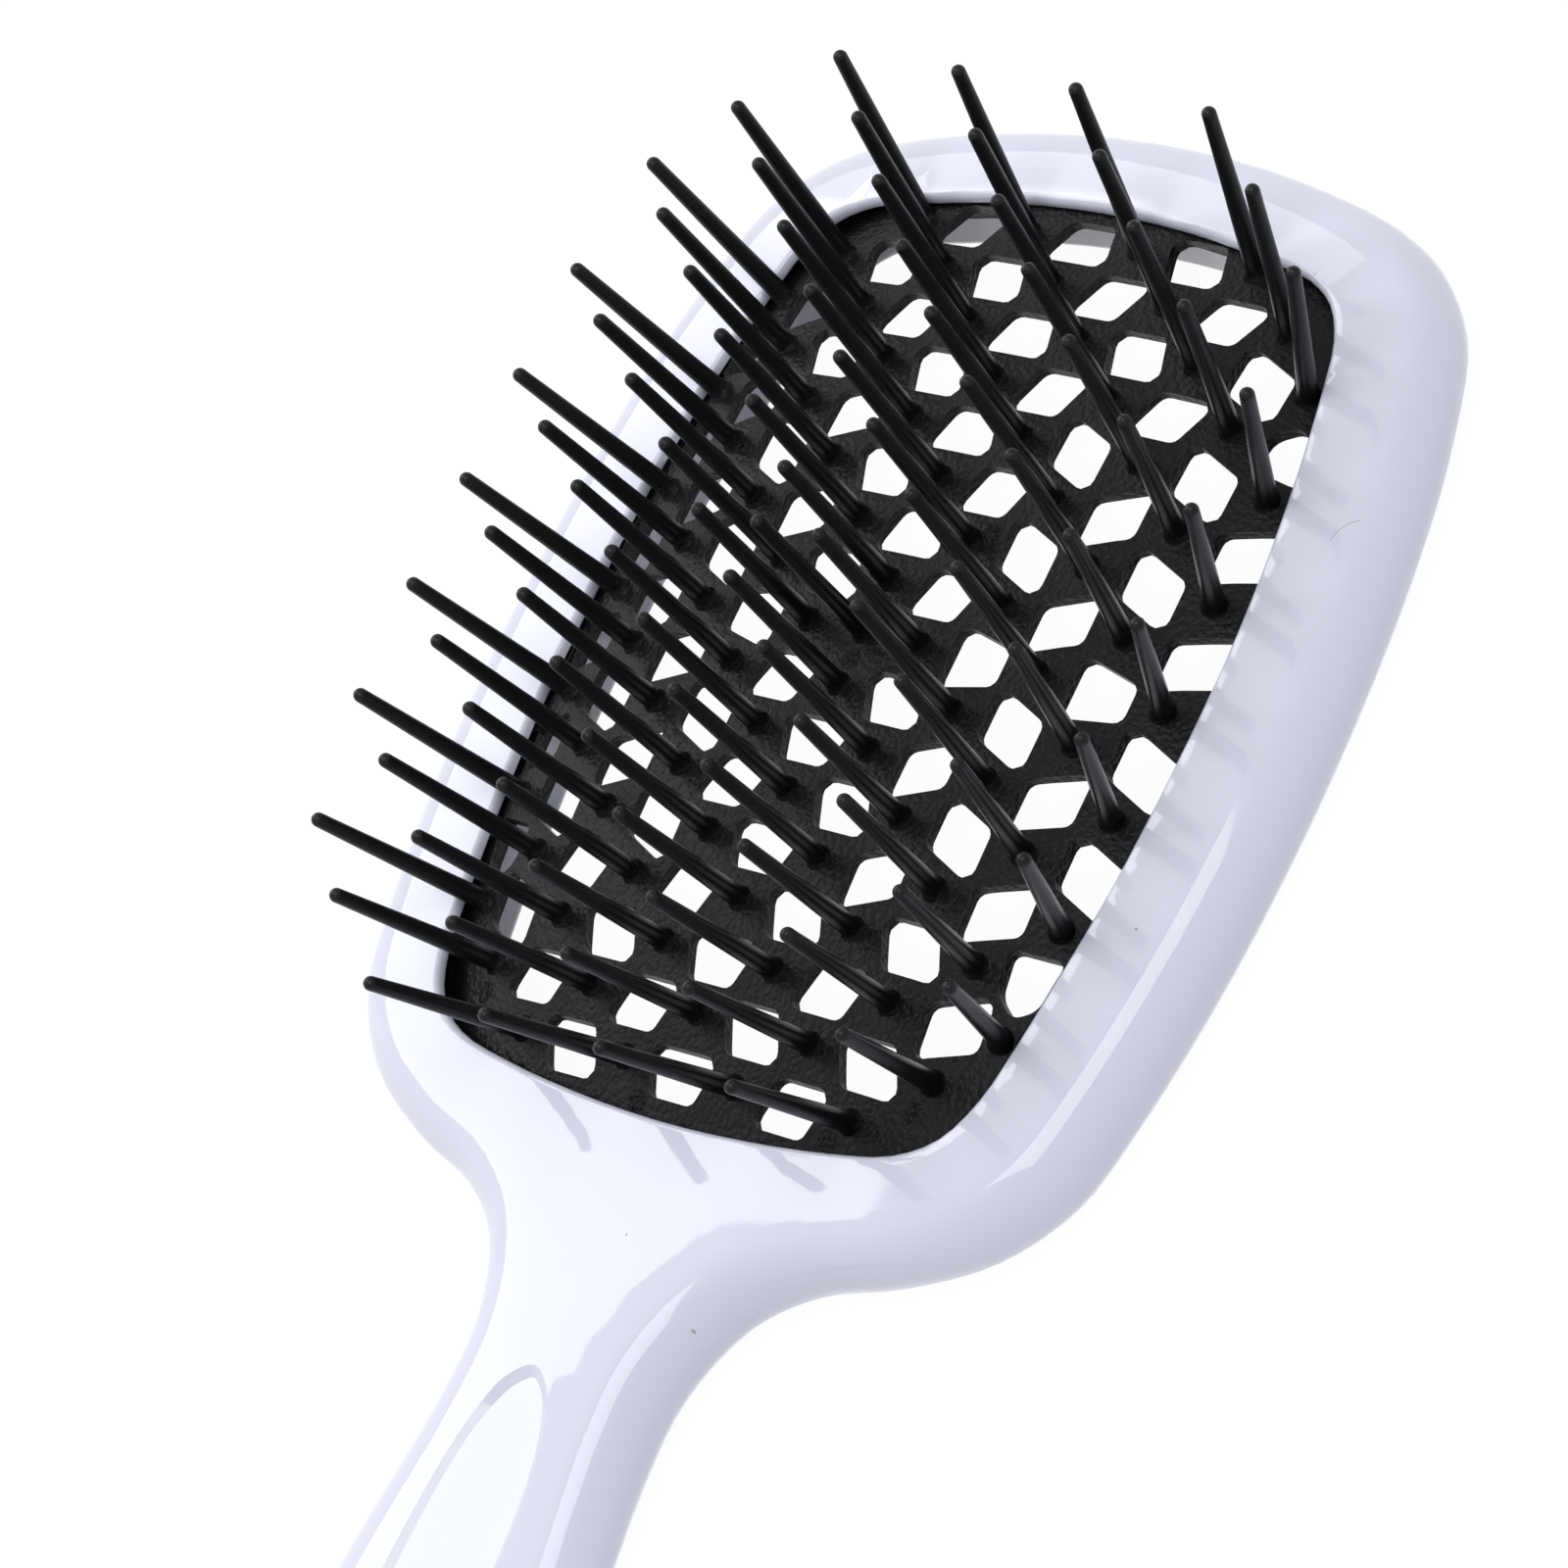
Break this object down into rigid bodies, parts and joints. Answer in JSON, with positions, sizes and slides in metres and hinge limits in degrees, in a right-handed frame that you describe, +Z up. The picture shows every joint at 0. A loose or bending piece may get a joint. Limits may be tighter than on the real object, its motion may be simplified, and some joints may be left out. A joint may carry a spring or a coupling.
{
  "type": "vent comb",
  "caption": "vented paddle brush: a glossy white oval frame with a narrow neck and long handle holds a domed black pad of slots with round-tipped pins",
  "frame": {"origin": "under the middle of the brush's length and width, on the surface that its back lies on", "axes": "X across the head, Y from the handle's end toward the head's far end, Z up along the pins"},
  "size_m": [0.0902, 0.235, 0.0301],
  "materials": {
    "frame_handle": "gloss moulded white plastic",
    "pin_pad": "fine-grained black nylon, satin on the pins"
  },
  "bodies": {
    "root": {"frame_handle": "frame_handle", "pin_pad": "pin_pad"}
  },
  "joints": []
}
